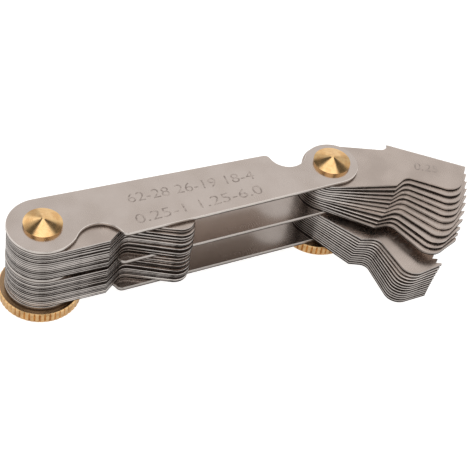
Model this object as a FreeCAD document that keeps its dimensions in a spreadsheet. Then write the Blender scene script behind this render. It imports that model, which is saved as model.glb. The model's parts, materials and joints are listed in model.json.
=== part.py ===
import FreeCAD, Part
import Sketcher
import math
import os

# Thread pitch gauge: three flat case plates, two screws with knurled thumb nuts, and four packs of
# thin toothed leaves that swing on the screws. Origin on the left screw's axis at the foot plane,
# +X towards the right screw, +Y towards the back, +Z up. Millimetres.

SIZES = {
    # case
    "pivotDistance": 60.0,
    "plateThickness": 0.85,
    "wideEndRadius": 6.8,
    "narrowEndRadius": 5.4,
    "wideScoopRadius": 4.7,
    "wideScoopFloor": 2.35,
    "narrowScoopRadius": 3.8,
    "narrowScoopFloor": 1.25,
    "scoopCornerRadius": 1.2,
    "plateEdgeChamfer": 0.1,
    # screws and thumb nuts
    "screwRadius": 2.0,
    "boreClearance": 0.05,
    "headRadius": 3.7,
    "headRimHeight": 0.6,
    "headConeHeight": 1.25,
    "headTipRadius": 1.2,
    "nutRadius": 8.0,
    "nutHeight": 2.3,
    "nutChamfer": 0.25,
    "nutSeatGap": 0.02,
    "knurlCount": 50,
    "knurlDepth": 0.28,
    "knurlGrooveShare": 0.42,
    # leaves: a shank round the screw and a blade with the toothed edge
    "inchLeafThickness": 0.48,
    "leafGap": 0.02,
    "inchShankRadius": 6.7,
    "metricShankRadius": 5.85,
    "inchStepAlong": 10.9,
    "metricStepAlong": 12.4,
    "neckAlong": 15.1,
    "neckAcross": -3.6,
    "neckRadius": 2.0,
    "inchTipAlong": 27.2,
    "inchTipAcross": -9.4,
    "metricTipAlong": 25.0,
    "metricTipAcross": -8.45,
    "tipRadius": 2.95,
    "inchFarAlong": 29.8,
    "inchFarAcross": -1.0,
    "metricFarAlong": 28.3,
    "metricFarAcross": -1.3,
    "heelAlong": 13.2,
    "heelAcross": 5.6,
    "rootAcross": 3.9,
    "rootRadius": 1.55,
    "inchThreadAngle": 55.0,
    "metricThreadAngle": 60.0,
    "flatShare": 0.125,
    "finePitch": 0.95,
    "landShare": 0.25,
}

# Pitches as threads per inch, and in millimetres, from the top leaf of each pack down.
UPPER_INCH = [62, 60, 48, 40, 36, 32, 30, 28, 26, 25, 24, 22, 20, 19]
LOWER_INCH = [18, 16, 14, 13, 12, 11, 10, 9, 8, 7, 6, 5, 4.5, 4]
UPPER_METRIC = [0.25, 0.3, 0.35, 0.4, 0.45, 0.5, 0.6, 0.7, 0.75, 0.8, 0.9, 1.0]
LOWER_METRIC = [1.25, 1.5, 1.75, 2.0, 2.5, 3.0, 3.5, 4.0, 4.5, 5.0, 5.5, 6.0]

# How far each leaf is turned about its screw, in degrees from the line of the two screws.
# The inch leaves lie folded, a little uneven; the metric leaves stand fanned out.
UPPER_INCH_TURN = [
    1.3, 0.9, -0.4, -1.0, 0.2, -0.4, -1.2, -0.7, -0.1, -1.1, -0.6, -1.4, -0.3, -0.9,
]
LOWER_INCH_TURN = [
    0.1, -0.8, -0.3, -1.1, -0.5, 0.3, -0.9, -0.2, -1.0, -0.6, -0.4, 0.2, -0.1, 0.3,
]
UPPER_METRIC_TURN = [
    -13.2, -16.4, -19.6, -22.5, -25.4, -28.6, -32.1, -35.9, -39.6, -42.0, -44.8, -42.9,
]
LOWER_METRIC_TURN = [
    -56.4, -57.5, -58.5, -59.4, -60.2, -60.8, -61.3, -61.8, -62.2, -62.5, -62.8, -63.1,
]

MM_PER_INCH = 25.4
TOLERANCE = 1e-6
Z_AXIS = FreeCAD.Vector(0, 0, 1)

doc = FreeCAD.newDocument("ThreadPitchGauge")
sheet = doc.addObject("Spreadsheet::Sheet", "Sizes")
for row, (alias, value) in enumerate(SIZES.items(), start=1):
    sheet.set("A%d" % row, alias)
    sheet.set("B%d" % row, str(value))
    sheet.setAlias("B%d" % row, alias)
doc.recompute()


def size(alias):
    return float(sheet.get(alias))


def originPlane(body, role):
    return [part for part in body.Origin.OriginFeatures if part.Role == role][0]


def addSketch(body, name, role="XY_Plane"):
    sketch = body.newObject("Sketcher::SketchObject", name)
    sketch.AttachmentSupport = [(originPlane(body, role), "")]
    sketch.MapMode = "FlatFace"
    return sketch


def bindSize(sketch, constraint, expression):
    """Adds a constraint and ties its value to the sheet."""
    index = sketch.addConstraint(constraint)
    sketch.setExpression("Constraints[%d]" % index, expression)


def polar(centre, radius, angle):
    return centre + FreeCAD.Vector(radius * math.cos(angle), radius * math.sin(angle), 0)


def angleOf(vector):
    return math.atan2(vector.y, vector.x)


def arcBetween(centre, radius, start, end):
    """Arc of a circle, counterclockwise from one angle to the other."""
    while end < start:
        end += 2 * math.pi
    return Part.ArcOfCircle(Part.Circle(centre, Z_AXIS, radius), start, end)


# Heights, worked out once: the inch leaves set the room between two plates, and the metric
# leaves, fewer and a little thicker, fill the same room.
inchCount = len(UPPER_INCH)
metricCount = len(UPPER_METRIC)
PACK = "(%d * Sizes.inchLeafThickness + %d * Sizes.leafGap)" % (inchCount, inchCount + 1)
BOTTOM_PLATE_Z = "(Sizes.nutHeight + Sizes.nutSeatGap)"
MIDDLE_PLATE_Z = "(%s + Sizes.plateThickness + %s)" % (BOTTOM_PLATE_Z, PACK)
TOP_PLATE_Z = "(%s + Sizes.plateThickness + %s)" % (MIDDLE_PLATE_Z, PACK)
CASE_TOP_Z = "(%s + Sizes.plateThickness)" % TOP_PLATE_Z

packHeight = inchCount * size("inchLeafThickness") + (inchCount + 1) * size("leafGap")
metricLeafThickness = (packHeight - (metricCount + 1) * size("leafGap")) / metricCount
bottomPlateZ = size("nutHeight") + size("nutSeatGap")
middlePlateZ = bottomPlateZ + size("plateThickness") + packHeight
topPlateZ = middlePlateZ + size("plateThickness") + packHeight


def scoopCorner(endCentre, endRadius, scoopRadius, floor, cornerRadius, tilt):
    """Centres of a thumb scoop and its corner, for the scoop on the -Y side beside the end at
    the origin; the straight edge leaves the end round at the given tilt."""
    drop = floor + scoopRadius
    along = math.sqrt((endRadius + scoopRadius) ** 2 - drop ** 2)
    scoopCentre = endCentre + FreeCAD.Vector(along, -drop, 0)
    outward = FreeCAD.Vector(math.sin(tilt), -math.cos(tilt), 0)
    edgeward = FreeCAD.Vector(math.cos(tilt), math.sin(tilt), 0)
    offset = endCentre + outward * (endRadius - cornerRadius) - scoopCentre
    reach = scoopRadius + cornerRadius
    depth = offset.dot(outward)
    step = math.sqrt(reach ** 2 - depth ** 2) - offset.dot(edgeward)
    cornerCentre = scoopCentre + offset + edgeward * step
    return scoopCentre, cornerCentre, outward


def halfOutline(endRadius, scoopRadius, floor, tilt):
    """End round, scoop and corner of the wide end, in the end's own frame."""
    corner = size("scoopCornerRadius")
    end = FreeCAD.Vector(0, 0, 0)
    scoop, cornerCentre, outward = scoopCorner(end, endRadius, scoopRadius, floor, corner, tilt)
    back = math.pi / 2 - tilt
    endArc = (end, endRadius, back, angleOf(scoop - end))
    scoopArc = (scoop, scoopRadius, angleOf(cornerCentre - scoop), angleOf(end - scoop))
    cornerArc = (cornerCentre, corner, angleOf(scoop - cornerCentre), angleOf(outward))
    return endArc, scoopArc, cornerArc


def turnedArc(arc, pivot):
    """The same arc turned half round to the other end of the case."""
    centre, radius, start, end = arc
    return (pivot - centre, radius, start + math.pi, end + math.pi)


def arcEnd(arc, which):
    centre, radius, start, end = arc
    return polar(centre, radius, (start, end)[which])


def drawPlateOutline(sketch):
    span = size("pivotDistance")
    wide = size("wideEndRadius")
    narrow = size("narrowEndRadius")
    tilt = math.asin((wide - narrow) / span)
    far = FreeCAD.Vector(span, 0, 0)
    wideArcs = halfOutline(wide, size("wideScoopRadius"), size("wideScoopFloor"), tilt)
    narrowArcs = halfOutline(narrow, size("narrowScoopRadius"), size("narrowScoopFloor"), -tilt)
    narrowArcs = [turnedArc(arc, far) for arc in narrowArcs]
    for near, other in ((wideArcs, narrowArcs), (narrowArcs, wideArcs)):
        for arc in near:
            sketch.addGeometry(arcBetween(*arc))
        edge = Part.LineSegment(arcEnd(near[2], 1), arcEnd(other[0], 0))
        sketch.addGeometry(edge)
    # 0 end round, 1 scoop, 2 corner, 3 straight edge, then 4 to 7 the same for the narrow end
    for first, firstEnd, second, secondEnd in (
        (0, 2, 1, 2), (1, 1, 2, 1), (2, 2, 3, 1), (3, 2, 4, 1),
        (4, 2, 5, 2), (5, 1, 6, 1), (6, 2, 7, 1), (7, 2, 0, 1),
    ):
        sketch.addConstraint(Sketcher.Constraint("Tangent", first, firstEnd, second, secondEnd))
    sketch.addConstraint(Sketcher.Constraint("Tangent", 3, 0))
    sketch.addConstraint(Sketcher.Constraint("Tangent", 7, 4))
    sketch.addConstraint(Sketcher.Constraint("Coincident", 0, 3, -1, 1))
    sketch.addConstraint(Sketcher.Constraint("PointOnObject", 4, 3, -1))
    bindSize(sketch, Sketcher.Constraint("DistanceX", -1, 1, 4, 3, span), "Sizes.pivotDistance")
    for index, alias in (
        (0, "wideEndRadius"), (1, "wideScoopRadius"), (2, "scoopCornerRadius"),
        (4, "narrowEndRadius"), (5, "narrowScoopRadius"), (6, "scoopCornerRadius"),
    ):
        bindSize(sketch, Sketcher.Constraint("Radius", index, size(alias)), "Sizes." + alias)
    wideDrop = size("wideScoopFloor") + size("wideScoopRadius")
    narrowDrop = size("narrowScoopFloor") + size("narrowScoopRadius")
    bindSize(sketch, Sketcher.Constraint("DistanceY", 1, 3, -1, 1, wideDrop),
             "Sizes.wideScoopFloor + Sizes.wideScoopRadius")
    bindSize(sketch, Sketcher.Constraint("DistanceY", -1, 1, 5, 3, narrowDrop),
             "Sizes.narrowScoopFloor + Sizes.narrowScoopRadius")


def drawPlateBores(sketch):
    radius = size("screwRadius") + size("boreClearance")
    for index, x in enumerate((0, size("pivotDistance"))):
        centre = FreeCAD.Vector(x, 0, 0)
        circle = sketch.addGeometry(Part.Circle(centre, Z_AXIS, radius))
        sketch.addConstraint(Sketcher.Constraint("Coincident", circle, 3, 4 * index, 3))
        bindSize(sketch, Sketcher.Constraint("Radius", circle, radius),
                 "Sizes.screwRadius + Sizes.boreClearance")


def makePlate(label, height):
    body = doc.addObject("PartDesign::Body", label)
    body.Label = label
    sketch = addSketch(body, label + "_outline")
    drawPlateOutline(sketch)
    drawPlateBores(sketch)
    pad = body.newObject("PartDesign::Pad", label + "_sheet")
    pad.Profile = sketch
    pad.setExpression("Length", "Sizes.plateThickness")
    doc.recompute()
    rims = []
    for index, face in enumerate(pad.Shape.Faces, start=1):
        if face.BoundBox.ZLength < TOLERANCE:
            rims.append("Face%d" % index)
    chamfer = body.newObject("PartDesign::Chamfer", label + "_edges")
    chamfer.Base = (pad, rims)
    chamfer.setExpression("Size", "Sizes.plateEdgeChamfer")
    body.setExpression("Placement.Base.z", height)
    return body


def makeScrew(label, along):
    """Cone-headed screw, turned about its axis."""
    body = doc.addObject("PartDesign::Body", label)
    body.Label = label
    sketch = addSketch(body, label + "_profile", "XZ_Plane")
    shank = size("screwRadius")
    head = size("headRadius")
    top = topPlateZ + size("plateThickness")
    rim = top + size("headRimHeight")
    slope = math.atan2(size("headConeHeight"), head)
    tip = size("headTipRadius")
    apex = rim + size("headConeHeight")
    tipCentre = apex - tip / math.cos(slope)
    tipSide = FreeCAD.Vector(tip * math.sin(slope), tipCentre + tip * math.cos(slope), 0)
    points = [
        FreeCAD.Vector(0, 0, 0), FreeCAD.Vector(shank, 0, 0), FreeCAD.Vector(shank, top, 0),
        FreeCAD.Vector(head, top, 0), FreeCAD.Vector(head, rim, 0), tipSide,
        FreeCAD.Vector(0, tipCentre + tip, 0), FreeCAD.Vector(0, 0, 0),
    ]
    for start, end in zip(points[:5], points[1:6]):
        sketch.addGeometry(Part.LineSegment(start, end))
    tipMiddle = FreeCAD.Vector(0, tipCentre, 0)
    sketch.addGeometry(arcBetween(tipMiddle, tip, math.pi / 2 - slope, math.pi / 2))
    sketch.addGeometry(Part.LineSegment(points[6], points[7]))
    # 0 end face, 1 shank, 2 under the head, 3 rim, 4 cone, 5 tip arc, 6 axis
    for line in range(4):
        sketch.addConstraint(Sketcher.Constraint("Coincident", line, 2, line + 1, 1))
    sketch.addConstraint(Sketcher.Constraint("Tangent", 4, 2, 5, 1))
    sketch.addConstraint(Sketcher.Constraint("Coincident", 5, 2, 6, 1))
    sketch.addConstraint(Sketcher.Constraint("Coincident", 6, 2, 0, 1))
    sketch.addConstraint(Sketcher.Constraint("Coincident", 0, 1, -1, 1))
    sketch.addConstraint(Sketcher.Constraint("PointOnObject", 5, 3, -2))
    for line in (0, 2):
        sketch.addConstraint(Sketcher.Constraint("Horizontal", line))
    for line in (1, 3, 6):
        sketch.addConstraint(Sketcher.Constraint("Vertical", line))
    bindSize(sketch, Sketcher.Constraint("DistanceX", 0, 1, 0, 2, shank), "Sizes.screwRadius")
    bindSize(sketch, Sketcher.Constraint("DistanceX", -1, 1, 3, 1, head), "Sizes.headRadius")
    bindSize(sketch, Sketcher.Constraint("DistanceY", 1, 1, 1, 2, top), CASE_TOP_Z)
    bindSize(sketch, Sketcher.Constraint("DistanceY", 3, 1, 3, 2, rim - top), "Sizes.headRimHeight")
    bindSize(sketch, Sketcher.Constraint("Radius", 5, tip), "Sizes.headTipRadius")
    bindSize(sketch, Sketcher.Constraint("DistanceY", 3, 2, 5, 3, tipCentre - rim),
             "Sizes.headConeHeight - Sizes.headTipRadius"
             " / cos(atan(Sizes.headConeHeight / Sizes.headRadius))")
    turned = body.newObject("PartDesign::Revolution", label + "_turned")
    turned.Profile = sketch
    turned.ReferenceAxis = (sketch, ["V_Axis"])
    turned.Angle = 360
    body.setExpression("Placement.Base.x", along)
    return body


def makeNut(label, along):
    """Thumb nut: a turned disc with a straight knurl."""
    body = doc.addObject("PartDesign::Body", label)
    body.Label = label
    sketch = addSketch(body, label + "_profile", "XZ_Plane")
    bore = size("screwRadius") + size("boreClearance")
    outer = size("nutRadius")
    height = size("nutHeight")
    edge = size("nutChamfer")
    corners = [
        (bore, 0), (outer - edge, 0), (outer, edge), (outer, height - edge),
        (outer - edge, height), (bore, height),
    ]
    points = [FreeCAD.Vector(x, z, 0) for x, z in corners]
    for start, end in zip(points, points[1:] + points[:1]):
        sketch.addGeometry(Part.LineSegment(start, end))
    # 0 foot, 1 lower chamfer, 2 rim, 3 upper chamfer, 4 seat, 5 bore
    for line in range(6):
        sketch.addConstraint(Sketcher.Constraint("Coincident", line, 2, (line + 1) % 6, 1))
    for kind, line in (("Vertical", 2), ("Horizontal", 4), ("Vertical", 5)):
        sketch.addConstraint(Sketcher.Constraint(kind, line))
    sketch.addConstraint(Sketcher.Constraint("PointOnObject", 0, 1, -1))
    sketch.addConstraint(Sketcher.Constraint("PointOnObject", 0, 2, -1))
    bindSize(sketch, Sketcher.Constraint("DistanceX", -1, 1, 0, 1, bore),
             "Sizes.screwRadius + Sizes.boreClearance")
    bindSize(sketch, Sketcher.Constraint("DistanceX", -1, 1, 2, 1, outer), "Sizes.nutRadius")
    bindSize(sketch, Sketcher.Constraint("DistanceY", 5, 2, 5, 1, height), "Sizes.nutHeight")
    for line, inner, outermost in ((1, 1, 2), (3, 2, 1)):
        width = Sketcher.Constraint("DistanceX", line, inner, line, outermost, edge)
        bindSize(sketch, width, "Sizes.nutChamfer")
        rise = Sketcher.Constraint("DistanceY", line, 1, line, 2, edge)
        bindSize(sketch, rise, "Sizes.nutChamfer")
    turned = body.newObject("PartDesign::Revolution", label + "_turned")
    turned.Profile = sketch
    turned.ReferenceAxis = (sketch, ["V_Axis"])
    turned.Angle = 360
    doc.recompute()
    groove = addSketch(body, label + "_groove")
    depth = size("knurlDepth")
    # the triangle runs as far past the rim as it cuts in, so it is twice as wide there as at the rim
    mouthWidth = 2 * size("knurlGrooveShare") * 2 * math.pi * outer / size("knurlCount")
    tip = FreeCAD.Vector(outer - depth, 0, 0)
    mouth = [FreeCAD.Vector(outer + depth, side * mouthWidth / 2, 0) for side in (-1, 1)]
    for start, end in ((tip, mouth[0]), (mouth[0], mouth[1]), (mouth[1], tip)):
        groove.addGeometry(Part.LineSegment(start, end))
    for line in range(3):
        groove.addConstraint(Sketcher.Constraint("Coincident", line, 2, (line + 1) % 3, 1))
    groove.addConstraint(Sketcher.Constraint("PointOnObject", 0, 1, -1))
    groove.addConstraint(Sketcher.Constraint("Symmetric", 1, 1, 1, 2, -1))
    bindSize(groove, Sketcher.Constraint("DistanceX", -1, 1, 0, 1, outer - depth),
             "Sizes.nutRadius - Sizes.knurlDepth")
    bindSize(groove, Sketcher.Constraint("DistanceX", 0, 1, 0, 2, 2 * depth), "2 * Sizes.knurlDepth")
    bindSize(groove, Sketcher.Constraint("DistanceY", 1, 1, 1, 2, mouthWidth),
             "4 * Sizes.knurlGrooveShare * pi * Sizes.nutRadius / Sizes.knurlCount")
    cut = body.newObject("PartDesign::Pocket", label + "_knurl")
    cut.Profile = groove
    cut.Type = 1
    cut.Midplane = True
    knurl = body.newObject("PartDesign::PolarPattern", label + "_knurling")
    knurl.Originals = [cut]
    knurl.Axis = (groove, ["N_Axis"])
    knurl.Angle = 360
    knurl.setExpression("Occurrences", "Sizes.knurlCount")
    body.Tip = knurl
    body.setExpression("Placement.Base.x", along)
    return body


def toothedEdge(heel, far, pitch, threadAngle):
    """Points of the toothed edge from heel to far corner, with as many whole grooves as fit between
    the plain lands at its ends. A fine pitch has sharp grooves, a coarse one flats."""
    run = far - heel
    length = run.Length
    along = run / length
    inward = FreeCAD.Vector(along.y, -along.x, 0)
    flat = pitch * size("flatShare") if pitch > size("finePitch") else 0
    depth = (pitch - 2 * flat) / 2 / math.tan(math.radians(threadAngle / 2))
    grooves = int((length - pitch * size("landShare")) / pitch)
    margin = (length - grooves * pitch + flat) / 2
    points = [heel]
    for index in range(grooves):
        start = margin + index * pitch
        end = start + pitch - flat
        middle = (start + end) / 2
        groove = ((start, 0), (middle - flat / 2, depth), (middle + flat / 2, depth), (end, 0))
        for reach, cut in groove:
            point = heel + along * reach + inward * cut
            if not point.isEqual(points[-1], TOLERANCE):
                points.append(point)
    points.append(far)
    return points


def roundedCorner(before, corner, after, radius):
    """Start, middle and end of the arc that rounds a corner."""
    inDirection = (before - corner).normalize()
    outDirection = (after - corner).normalize()
    half = inDirection.getAngle(outDirection) / 2
    reach = radius / math.tan(half)
    bisector = (inDirection + outDirection).normalize()
    middle = corner + bisector * (radius / math.sin(half) - radius)
    return corner + inDirection * reach, middle, corner + outDirection * reach


def tangentPoint(point, radius, side):
    """Where the line from a point touches the circle about the origin, on the given side."""
    angle = angleOf(point) + side * math.acos(radius / point.Length)
    return polar(FreeCAD.Vector(0, 0, 0), radius, angle)


def sizePoint(along, across):
    return FreeCAD.Vector(along, across, 0)


def leafShape(family, pitch):
    """One leaf in its own frame: bore at the origin, blade towards +X, toothed edge on +Y."""
    shankRadius = family["shank"]
    heel = sizePoint(size("heelAlong"), size("heelAcross"))
    root = sizePoint(size("heelAlong"), size("rootAcross"))
    far = family["far"]
    tip = family["tip"]
    neck = sizePoint(size("neckAlong"), size("neckAcross"))
    step = sizePoint(family["step"], -shankRadius)
    shankBack = tangentPoint(root, shankRadius, 1)
    shankFront = sizePoint(0, -shankRadius)
    rootArc = roundedCorner(shankBack, root, heel, size("rootRadius"))
    tipArc = roundedCorner(far, tip, neck, size("tipRadius"))
    neckArc = roundedCorner(tip, neck, step, size("neckRadius"))
    edges = [Part.makeLine(shankBack, rootArc[0])]
    edges.append(Part.Arc(*rootArc).toShape())
    edges.append(Part.makeLine(rootArc[2], heel))
    teeth = toothedEdge(heel, far, pitch, family["angle"])
    edges.extend(Part.makeLine(start, end) for start, end in zip(teeth, teeth[1:]))
    edges.append(Part.makeLine(far, tipArc[0]))
    edges.append(Part.Arc(*tipArc).toShape())
    edges.append(Part.makeLine(tipArc[2], neckArc[0]))
    edges.append(Part.Arc(*neckArc).toShape())
    edges.append(Part.makeLine(neckArc[2], step))
    edges.append(Part.makeLine(step, shankFront))
    edges.append(Part.Arc(shankFront, sizePoint(-shankRadius, 0), shankBack).toShape())
    outline = Part.Wire(edges)
    boreRadius = size("screwRadius") + size("boreClearance")
    bore = Part.Wire([Part.makeCircle(boreRadius)])
    return Part.Face([outline, bore]).extrude(Z_AXIS * family["thickness"])


def makePack(pitches, turns, names, family, along, baseZ):
    """One pack of leaves, stacked from the top plate side down, each turned on its screw."""
    thickness = family["thickness"]
    count = len(pitches)
    leaves = []
    for index, (pitch, turn, name) in enumerate(zip(pitches, turns, names)):
        leaf = doc.addObject("Part::Feature", name)
        leaf.Label = name
        leaf.Shape = leafShape(family, pitch)
        level = count - 1 - index
        height = baseZ + size("leafGap") + level * (thickness + size("leafGap"))
        position = FreeCAD.Vector(along, 0, height)
        leaf.Placement = FreeCAD.Placement(position, FreeCAD.Rotation(Z_AXIS, turn))
        leaves.append(leaf)
    return leaves


def inchPitches(counts):
    return [MM_PER_INCH / count for count in counts]


def inchNames(counts):
    return ["leaf_tpi_" + ("%g" % count).replace(".", "_") for count in counts]


def metricNames(pitches):
    return ["leaf_mm_" + ("%.2f" % pitch).replace(".", "_") for pitch in pitches]


subparts = [
    makePlate("bottom_plate", BOTTOM_PLATE_Z),
    makePlate("middle_plate", MIDDLE_PLATE_Z),
    makePlate("top_plate", TOP_PLATE_Z),
    makeScrew("left_screw", "0 mm"),
    makeScrew("right_screw", "Sizes.pivotDistance"),
    makeNut("left_thumb_nut", "0 mm"),
    makeNut("right_thumb_nut", "Sizes.pivotDistance"),
]

inchFamily = {
    "thickness": size("inchLeafThickness"),
    "shank": size("inchShankRadius"),
    "step": size("inchStepAlong"),
    "tip": sizePoint(size("inchTipAlong"), size("inchTipAcross")),
    "far": sizePoint(size("inchFarAlong"), size("inchFarAcross")),
    "angle": size("inchThreadAngle"),
}
metricFamily = {
    "thickness": metricLeafThickness,
    "shank": size("metricShankRadius"),
    "step": size("metricStepAlong"),
    "tip": sizePoint(size("metricTipAlong"), size("metricTipAcross")),
    "far": sizePoint(size("metricFarAlong"), size("metricFarAcross")),
    "angle": size("metricThreadAngle"),
}
lowerBase = bottomPlateZ + size("plateThickness")
upperBase = middlePlateZ + size("plateThickness")
right = size("pivotDistance")
for counts, turns, base in (
    (UPPER_INCH, UPPER_INCH_TURN, upperBase),
    (LOWER_INCH, LOWER_INCH_TURN, lowerBase),
):
    subparts += makePack(inchPitches(counts), turns, inchNames(counts), inchFamily, 0, base)
for pitches, turns, base in (
    (UPPER_METRIC, UPPER_METRIC_TURN, upperBase),
    (LOWER_METRIC, LOWER_METRIC_TURN, lowerBase),
):
    subparts += makePack(pitches, turns, metricNames(pitches), metricFamily, right, base)

doc.recompute()
for item in doc.Objects:
    if "Invalid" in item.State or "Error" in item.State:
        raise RuntimeError("%s did not compute: %s" % (item.Label, item.State))
for part in subparts:
    if part.Shape.isNull() or not part.Shape.isValid() or len(part.Shape.Solids) != 1:
        raise RuntimeError("%s has no sound solid" % part.Label)

os.makedirs("parts", exist_ok=True)
for part in subparts:
    part.Shape.exportStep("parts/%s.step" % part.Label)
print("%d sub-parts" % len(subparts))
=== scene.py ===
import json
import math
import random
import bmesh
import bpy
from mathutils import Matrix, Vector


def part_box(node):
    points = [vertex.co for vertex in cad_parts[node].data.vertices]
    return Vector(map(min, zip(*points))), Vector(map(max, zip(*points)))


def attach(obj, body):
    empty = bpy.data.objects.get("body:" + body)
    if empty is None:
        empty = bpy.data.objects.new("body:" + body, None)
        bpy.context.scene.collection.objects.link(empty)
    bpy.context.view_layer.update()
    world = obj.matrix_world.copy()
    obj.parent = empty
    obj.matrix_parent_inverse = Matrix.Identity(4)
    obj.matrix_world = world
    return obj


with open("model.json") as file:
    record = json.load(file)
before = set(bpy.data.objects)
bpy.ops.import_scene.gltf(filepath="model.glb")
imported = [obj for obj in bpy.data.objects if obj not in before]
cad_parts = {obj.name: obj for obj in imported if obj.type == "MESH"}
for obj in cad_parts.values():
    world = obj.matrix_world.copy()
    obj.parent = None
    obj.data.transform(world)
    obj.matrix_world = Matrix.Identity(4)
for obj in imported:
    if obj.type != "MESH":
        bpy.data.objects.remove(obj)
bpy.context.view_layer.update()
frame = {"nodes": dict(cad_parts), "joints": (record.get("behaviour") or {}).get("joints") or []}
nodes = frame["nodes"]
mm = 0.001
print("frame loaded:", len(nodes), "nodes")


class Wire:  # a socket that can stand in a sum
    def __init__(self, board, socket):
        self.board = board
        self.socket = socket

    def sum(self, operation, *values):
        return self.board.node("ShaderNodeMath", {"operation": operation}, values)

    def __add__(self, other):
        return self.sum("ADD", self, other)

    def __radd__(self, other):
        return self.sum("ADD", other, self)

    def __sub__(self, other):
        return self.sum("SUBTRACT", self, other)

    def __rsub__(self, other):
        return self.sum("SUBTRACT", other, self)

    def __mul__(self, other):
        return self.sum("MULTIPLY", self, other)

    def __rmul__(self, other):
        return self.sum("MULTIPLY", other, self)

    def __truediv__(self, other):
        return self.sum("DIVIDE", self, other)

    def __rtruediv__(self, other):
        return self.sum("DIVIDE", other, self)

    def __abs__(self):
        return self.sum("ABSOLUTE", self)


class Board:  # a node tree under construction
    def __init__(self, tree):
        self.tree = tree
        tree.nodes.clear()

    def node(self, kind, settings=None, values=(), output=0):
        made = self.tree.nodes.new(kind)
        for key, value in (settings or {}).items():
            if key == "stops":
                self.setStops(made.color_ramp, value)
            else:
                setattr(made, key, value)
        pairs = values.items() if isinstance(values, dict) else enumerate(values)
        for key, value in pairs:
            if isinstance(value, Wire):
                self.tree.links.new(value.socket, made.inputs[key])
            else:
                made.inputs[key].default_value = value
        return Wire(self, made.outputs[output] if made.outputs else None)

    def setStops(self, ramp, stops):
        while len(ramp.elements) < len(stops):
            ramp.elements.new(1.0)
        for element, (position, colour) in zip(ramp.elements, stops):
            element.position = position
            element.color = colour if len(colour) == 4 else (*colour, 1.0)

    def blend(self, factor, first, second):
        settings = {"data_type": "RGBA", "blend_type": "MIX"}
        first = first if isinstance(first, Wire) else (*first, 1.0)
        second = second if isinstance(second, Wire) else (*second, 1.0)
        return self.node("ShaderNodeMix", settings, {0: factor, 6: first, 7: second}, 2)

    def smooth(self, value, low, high, bottom=0.0, top=1.0):
        settings = {"interpolation_type": "SMOOTHSTEP"}
        return self.node("ShaderNodeMapRange", settings, (value, low, high, bottom, top))

    def noise(self, place, scale, detail=2.0, roughness=0.5):
        values = {"Vector": place, "Scale": scale, "Detail": detail, "Roughness": roughness}
        return self.node("ShaderNodeTexNoise", None, values)

    # Object coordinates in millimetres about a centre, turned with the piece and stretched
    def place(self, centre=(0, 0, 0), turn=0.0, stretch=(1, 1, 1)):
        coordinates = self.node("ShaderNodeTexCoord", output=3)
        own = self.node("ShaderNodeMapping", {"vector_type": "TEXTURE"}, {
            "Vector": coordinates, "Location": centre, "Rotation": (0, 0, turn),
            "Scale": (mm, mm, mm)})
        if tuple(stretch) == (1, 1, 1):
            return own
        return self.node("ShaderNodeMapping", None, {"Vector": own, "Scale": stretch})

    # how far a face is from lying flat: 0 on flat faces, 1 on upright ones
    def upright(self, lying=0.9, standing=0.5):
        normal = self.node("ShaderNodeNewGeometry", output=3)
        tilt = self.node("ShaderNodeSeparateXYZ", None, (normal,), 2)
        return self.smooth(abs(tilt), lying, standing)

    def finish(self, values):
        surface = self.node("ShaderNodeBsdfPrincipled", None, values)
        self.node("ShaderNodeOutputMaterial", None, {"Surface": surface})


def newMaterial(name):
    material = bpy.data.materials.new(name)
    material.use_nodes = True
    return material, Board(material.node_tree)


# in both looks a dark colour lies along the bottom of each upright edge, partly the dull broken part of
# the cut and partly painted shade in the gap below; the top of each edge gets a painted highlight band
# of the given width
plateLook = {
    "face": (0.60, 0.52, 0.47), "worn": (0.55, 0.47, 0.42), "edge": (0.86, 0.80, 0.75),
    "cut": (0.13, 0.105, 0.09), "cutRise": 0.38, "grain": (9.0, 0.8, 1.0), "speckle": 0.25,
    "roughness": 0.21, "relief": 0.001, "thick": 0.85, "highlightBand": 0.07,
}
leafLook = {
    "face": (0.58, 0.49, 0.435), "worn": (0.50, 0.42, 0.37), "edge": (0.90, 0.835, 0.79),
    "cut": (0.03, 0.022, 0.018), "cutRise": 0.2, "grain": (11.0, 0.7, 1.0), "speckle": 0.3,
    "roughness": 0.25, "relief": 0.0012, "thick": 0.48, "highlightBand": 0.06,
}


# what both steels share: noise scales per millimetre, how far each noise reaches, how much darker an
# edge is under its painted highlight, and how soft the top of its dark band of painted shade is
steelMarks = {
    "speckleScale": 5.0, "patchScale": 0.16, "raggedScale": 0.35, "raggedStretch": (1.0, 1.0, 0.2),
    "raggedReach": 0.3, "grainInWear": 0.35, "wearFrom": (0.5, 0.9), "tone": 0.93,
    "toneFrom": (0.3, 0.7), "underHighlightTone": 0.85, "cutBlend": 0.05, "grainRough": 0.12,
    "wearRough": 0.06, "edgeRough": 0.1, "brokenRough": 0.2, "grainRelief": 0.8, "strength": 0.5,
}


def scaled(colour, factor):
    return tuple(part * factor for part in colour)


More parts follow.
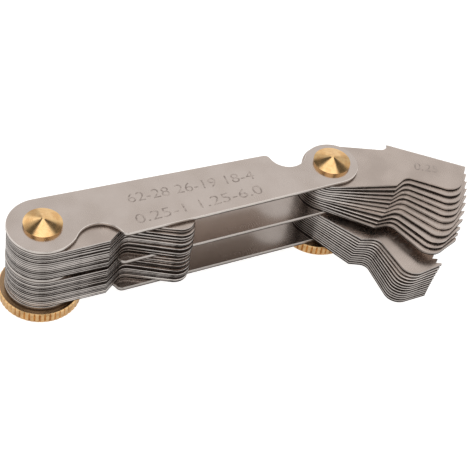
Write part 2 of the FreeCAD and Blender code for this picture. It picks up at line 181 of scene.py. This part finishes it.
def steelMaterial(name, look, centre=(0, 0, 0), turn=0.0):
    material, board = newMaterial(name)
    marks = steelMarks
    plain = board.place(centre, turn)
    grain = board.noise(board.place(centre, turn, look["grain"]), 1.0, 4.0, 0.6)
    speckle = board.noise(plain, marks["speckleScale"], 3.0, 0.6)
    patches = board.noise(plain, marks["patchScale"], 2.0)
    wear = board.smooth(patches + grain * marks["grainInWear"], *marks["wearFrom"])
    upright = board.upright()
    shade = board.blend(wear, look["face"], look["worn"])
    mixed = grain * (1 - look["speckle"]) + speckle * look["speckle"]
    lightness = board.smooth(mixed, *marks["toneFrom"])
    dark = board.node("ShaderNodeVectorMath", {"operation": "SCALE"}, {0: shade, "Scale": marks["tone"]})
    shade = board.blend(lightness, dark, shade)
    # a sheared edge: a painted highlight band along the top where a burr catches the light, the edge a
    # little darker below it, then a dark band at the bottom, partly the dull broken part of the cut and
    # partly painted shade in the gap under the part
    rise = board.node("ShaderNodeSeparateXYZ", None, (plain,), 2)
    ragged = board.noise(board.place(centre, turn, marks["raggedStretch"]), marks["raggedScale"], 3.0)
    breakAndShadeLine = rise + (ragged - 0.5) * marks["raggedReach"]
    blend = marks["cutBlend"]
    brokenAndShaded = board.smooth(breakAndShadeLine, look["cutRise"] + blend, look["cutRise"] - blend)
    highlightBand = board.smooth(rise, look["thick"] - 2 * look["highlightBand"], look["thick"] - look["highlightBand"])
    edgeUnderHighlight = board.blend(highlightBand, scaled(look["edge"], marks["underHighlightTone"]), look["edge"])
    edge = board.blend(brokenAndShaded, edgeUnderHighlight, look["cut"])
    colour = board.blend(upright, shade, edge)
    roughness = (look["roughness"] + (grain - 0.5) * marks["grainRough"] + wear * marks["wearRough"]
                 + upright * (marks["edgeRough"] + brokenAndShaded * marks["brokenRough"]))
    height = grain * marks["grainRelief"] + speckle * (1 - marks["grainRelief"])
    bump = board.node("ShaderNodeBump", None, {
        "Strength": marks["strength"], "Distance": look["relief"] * mm, "Height": height})
    board.finish({"Base Color": colour, "Metallic": 1.0, "Roughness": roughness, "Normal": bump})
    return material


# the colour for flat faces is painted shade: on the nut it darkens the top face, which lies in the shade
# under the bottom plate; on the screw it equals the bright colour
screwLook = {
    "bright": (0.93, 0.61, 0.29), "warm": (0.80, 0.47, 0.20), "flat": (0.93, 0.61, 0.29),
    "rings": 7.0, "roughness": 0.10, "relief": 0.002,
}
nutLook = {
    "bright": (0.80, 0.52, 0.25), "warm": (0.60, 0.36, 0.16), "flat": (0.36, 0.23, 0.13),
    "rings": 3.0, "roughness": 0.27, "relief": 0.005,
}


def brassMaterial(name, look, centre):
    material, board = newMaterial(name)
    plain = board.place(centre)
    apart = board.node("ShaderNodeSeparateXYZ", None, (plain,), 0)
    across = board.node("ShaderNodeSeparateXYZ", None, (plain,), 1)
    radius = board.node("ShaderNodeMath", {"operation": "SQRT"}, (apart * apart + across * across,))
    rings = board.node("ShaderNodeTexNoise", {"noise_dimensions": "1D"}, {
        "W": radius, "Scale": look["rings"], "Detail": 3.0})
    stain = board.noise(plain, 0.9, 3.0)
    patina = board.smooth(stain + rings * 0.25, 0.5, 0.85)
    colour = board.blend(patina, look["bright"], look["warm"])
    # flat faces take a colour of their own: painted shade on the nut's flat faces
    colour = board.blend(board.upright(0.999, 0.99), look["flat"], colour)
    roughness = look["roughness"] + (rings - 0.5) * 0.12 + patina * 0.08
    bump = board.node("ShaderNodeBump", None, {
        "Strength": 0.5, "Distance": look["relief"] * mm, "Height": rings + stain * 0.3})
    board.finish({"Base Color": colour, "Metallic": 1.0, "Roughness": roughness, "Normal": bump})
    return material


def dress(node, material):
    node.data.materials.clear()
    node.data.materials.append(material)


# the lower plates get darker colours: painted shade, as they lie in the shade inside the case under the
# top plate
plateShadeScale = {"bottom_plate": 0.65, "middle_plate": 0.78, "top_plate": 1.0}
for name, brightnessScale in plateShadeScale.items():
    look = dict(plateLook, **{part: scaled(plateLook[part], brightnessScale) for part in ("face", "worn", "edge")})
    dress(nodes[name], steelMaterial("steel_" + name, look, (0, 0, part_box(name)[0].z)))


def axisOf(name):
    low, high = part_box(name)
    return (low + high) / 2


for side in ("left", "right"):
    screw = side + "_screw"
    nut = side + "_thumb_nut"
    dress(nodes[screw], brassMaterial(side + "ScrewBrass", screwLook, axisOf(screw)))
    dress(nodes[nut], brassMaterial(side + "NutBrass", nutLook, axisOf(nut)))

leafPlan = {
    # the leaf's outermost point in its own frame, millimetres
    "inchCorner": (29.8, -1.0), "metricCorner": (28.3, -1.3),
    "numberAt": (17.2, -1.7), "numberTurn": math.radians(-14), "numberHeight": 2.0,
    # per leaf: a random height for the dark band of broken metal and painted shade at the bottom of the
    # edge, and a random brightness scale for the edge
    "figureWide": 1.2, "cutRise": (0.15, 0.38), "brightnessScale": (0.55, 1.05),
}
pivots = {joint["child"]: Vector(joint["pos_m"]) for joint in frame["joints"]}
leafNames = [name for name in nodes if name.startswith("leaf_")]


# A leaf's turn about its screw, from where its outermost corner lies.
def turnOf(name):
    pivot = pivots[name]
    reach = [vertex.co - pivot for vertex in nodes[name].data.vertices]
    corner = max(reach, key=lambda step: step.x ** 2 + step.y ** 2)
    farX, farY = leafPlan["inchCorner" if "tpi" in name else "metricCorner"]
    return math.atan2(corner.y, corner.x) - math.atan2(farY, farX)


turns = {name: turnOf(name) for name in leafNames}
draw = random.Random(11)
for name in leafNames:
    pivot = pivots[name]
    low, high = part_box(name)
    # each leaf gets a random height for its band of broken metal and painted shade, and a random edge
    # brightness
    look = dict(leafLook, thick=(high.z - low.z) / mm, cutRise=draw.uniform(*leafPlan["cutRise"]),
                edge=scaled(leafLook["edge"], draw.uniform(*leafPlan["brightnessScale"])))
    dress(nodes[name], steelMaterial("steel_" + name, look, (pivot.x, pivot.y, low.z), turns[name]))
print("materials on the frame's nodes")

plateRows = [
    {"words": "62-28 26-19 18-4", "start": (17.3, 0.8), "turn": math.radians(-1.4), "long": 26.0},
    {"words": "0.25-1 1.25-6.0", "start": (17.0, -4.7), "turn": math.radians(1.8), "long": 26.4},
]
stampLook = {
    "rowHeight": 2.3, "depth": 0.008, "offset": -0.008, "dark": (0.33, 0.275, 0.245),
    "faint": (0.52, 0.445, 0.40), "fadeScale": 1.1, "gritScale": 9.0, "fadeFrom": (0.38, 0.62),
    "gritInFade": 0.3, "roughness": 0.42, "gritRough": 0.1, "relief": 0.01, "strength": 0.6,
}


def stampMaterial(name, look):
    material, board = newMaterial(name)
    plain = board.place()
    fade = board.noise(plain, look["fadeScale"], 2.0)
    grit = board.noise(plain, look["gritScale"], 2.0)
    faded = board.smooth(fade + (grit - 0.5) * look["gritInFade"], *look["fadeFrom"])
    shade = board.blend(faded, look["dark"], look["faint"])
    bump = board.node("ShaderNodeBump", None, {
        "Strength": look["strength"], "Distance": look["relief"] * mm, "Height": grit})
    roughness = look["roughness"] + grit * look["gritRough"]
    board.finish({"Base Color": shade, "Metallic": 1.0, "Roughness": roughness, "Normal": bump})
    return material


stampSteel = stampMaterial("stampSteel", stampLook)


# Figures as a thin mesh: drawn at unit size, made a mesh, then laid on the face.
def stampMesh(name, words, height, long):
    curve = bpy.data.curves.new(name, "FONT")
    curve.body = words
    curve.extrude = 0.5
    curve.offset = stampLook["offset"]
    carrier = bpy.data.objects.new(name + "_curve", curve)
    bpy.context.scene.collection.objects.link(carrier)
    bpy.context.view_layer.update()
    mesh = bpy.data.meshes.new_from_object(carrier)
    bpy.data.objects.remove(carrier)
    xs = [vertex.co.x for vertex in mesh.vertices]
    ys = [vertex.co.y for vertex in mesh.vertices]
    mesh.transform(Matrix.Translation((-min(xs), -min(ys), 0.5)))
    mesh.transform(Matrix.Diagonal((
        long / (max(xs) - min(xs)), height / (max(ys) - min(ys)), stampLook["depth"], 1)))
    mesh.transform(Matrix.Scale(mm, 4))
    return mesh


def addStamp(name, words, height, long, move, body):
    mesh = stampMesh(name, words, height, long)
    mesh.transform(move)
    piece = bpy.data.objects.new(name, mesh)
    bpy.context.scene.collection.objects.link(piece)
    mesh.materials.append(stampSteel)
    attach(piece, body)
    return piece


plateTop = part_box("top_plate")[1].z
for index, row in enumerate(plateRows):
    move = Matrix.Translation((row["start"][0] * mm, row["start"][1] * mm, plateTop))
    move = move @ Matrix.Rotation(row["turn"], 4, "Z")
    addStamp("plate_figures_%d" % (index + 1), row["words"], stampLook["rowHeight"], row["long"], move,
             "case")

for name in leafNames:
    figure = name.split("_", 2)[2].replace("_", ".")
    pivot = pivots[name]
    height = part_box(name)[1].z
    move = Matrix.Translation((pivot.x, pivot.y, height)) @ Matrix.Rotation(turns[name], 4, "Z")
    move = move @ Matrix.Translation((*(part * mm for part in leafPlan["numberAt"]), 0))
    move = move @ Matrix.Rotation(leafPlan["numberTurn"], 4, "Z")
    addStamp(name.replace("leaf", "figure"), figure, leafPlan["numberHeight"],
             leafPlan["figureWide"] * len(figure), move, name)
print("stamped figures laid on")

view = {
    "azimuth": math.radians(-31.445), "elevation": math.radians(46.764),
    "roll": math.radians(11.136), "distance": 274.0 * mm, "aim": Vector((38.82, -3.75, 8.04)) * mm,
    "lens": 105.9, "sensor": 36.0, "clipStart": 0.01,
}
sight = Vector((
    -math.sin(view["azimuth"]) * math.cos(view["elevation"]),
    math.cos(view["azimuth"]) * math.cos(view["elevation"]),
    -math.sin(view["elevation"]),
))
level = Vector((math.cos(view["azimuth"]), math.sin(view["azimuth"]), 0))
rise = level.cross(sight)
right = level * math.cos(view["roll"]) + rise * math.sin(view["roll"])
upward = rise * math.cos(view["roll"]) - level * math.sin(view["roll"])
lens = bpy.data.cameras.new("camera")
lens.lens = view["lens"]
lens.sensor_width = view["sensor"]
lens.clip_start = view["clipStart"]
camera = bpy.data.objects.new("camera", lens)
turnMatrix = Matrix((right, upward, -sight)).transposed().to_4x4()
camera.matrix_world = Matrix.Translation(view["aim"] - sight * view["distance"]) @ turnMatrix
bpy.context.scene.collection.objects.link(camera)
bpy.context.scene.camera = camera

floorLook = {
    "size": 3.0, "colour": (0.42, 0.41, 0.40), "shown": 0.9, "inMetal": 0.45,
}


def floorMaterial():
    material, board = newMaterial("paleFloor")
    direct, glossy, through = [
        board.node("ShaderNodeLightPath", output=key)
        for key in ("Is Camera Ray", "Is Glossy Ray", "Is Transmission Ray")
    ]
    seen = direct * floorLook["shown"] + (glossy + through) * floorLook["inMetal"]
    grain = board.noise(board.place(), 0.02, 2.0)
    colour = board.blend(grain, floorLook["colour"], tuple(c * 0.97 for c in floorLook["colour"]))
    board.finish({
        "Base Color": colour, "Roughness": 0.9, "Emission Color": (1, 0.99, 0.98, 1),
        "Emission Strength": seen})
    return material


bm = bmesh.new()
bmesh.ops.create_grid(bm, x_segments=1, y_segments=1, size=floorLook["size"])
floorMesh = bpy.data.meshes.new("floor")
bm.to_mesh(floorMesh)
bm.free()
floorMesh.materials.append(floorMaterial())
floor = bpy.data.objects.new("floor", floorMesh)
bpy.context.scene.collection.objects.link(floor)

# The studio as seen in the metal: a long soft strip overhead, side panels, pale walls low down,
# and dark gaps between them.
studioLook = {
    "gap": 0.10, "strip": 0.80, "zenith": 0.38, "side": 0.55, "wall": 0.48,
    "stripHalf": (0.25, 0.34), "sideFrom": (0.46, 0.58), "wallFrom": (0.72, 0.58),
}


def studioWorld():
    world = bpy.data.worlds.new("studio")
    world.use_nodes = True
    board = Board(world.node_tree)
    ray = board.node("ShaderNodeTexCoord", output=0)
    across = board.node("ShaderNodeVectorMath", {"operation": "DOT_PRODUCT"}, {0: ray, 1: level}, 1)
    height = board.node("ShaderNodeSeparateXYZ", None, (ray,), 2)
    strip = board.smooth(abs(across), *reversed(studioLook["stripHalf"]))
    zenith = board.smooth(height, 0.85, 0.97)
    side = board.smooth(abs(across), *studioLook["sideFrom"])
    wall = board.smooth(height, *studioLook["wallFrom"])
    light = (studioLook["gap"] + strip * (studioLook["strip"] + zenith * studioLook["zenith"])
             + side * studioLook["side"] + (1 - strip) * wall * studioLook["wall"])
    camera = board.node("ShaderNodeLightPath", output="Is Camera Ray")
    strength = camera + (1 - camera) * light
    backdrop = board.node("ShaderNodeBackground", None, {"Color": (1, 1, 1, 1), "Strength": strength})
    board.node("ShaderNodeOutputWorld", None, {"Surface": backdrop})
    bpy.context.scene.world = world


studioWorld()

lamps = [
    {"name": "keyLamp", "at": (-0.05, -0.13, 0.58), "size": 0.30, "power": 0.6},
]
for lamp in lamps:
    light = bpy.data.lights.new(lamp["name"], "AREA")
    light.size = lamp["size"]
    light.energy = lamp["power"]
    holder = bpy.data.objects.new(lamp["name"], light)
    place = Vector(lamp["at"])
    facing = (view["aim"] - place).to_track_quat("-Z", "Y")
    holder.matrix_world = Matrix.Translation(place) @ facing.to_matrix().to_4x4()
    bpy.context.scene.collection.objects.link(holder)

bpy.context.scene.view_settings.view_transform = "Standard"
print("scene ready")
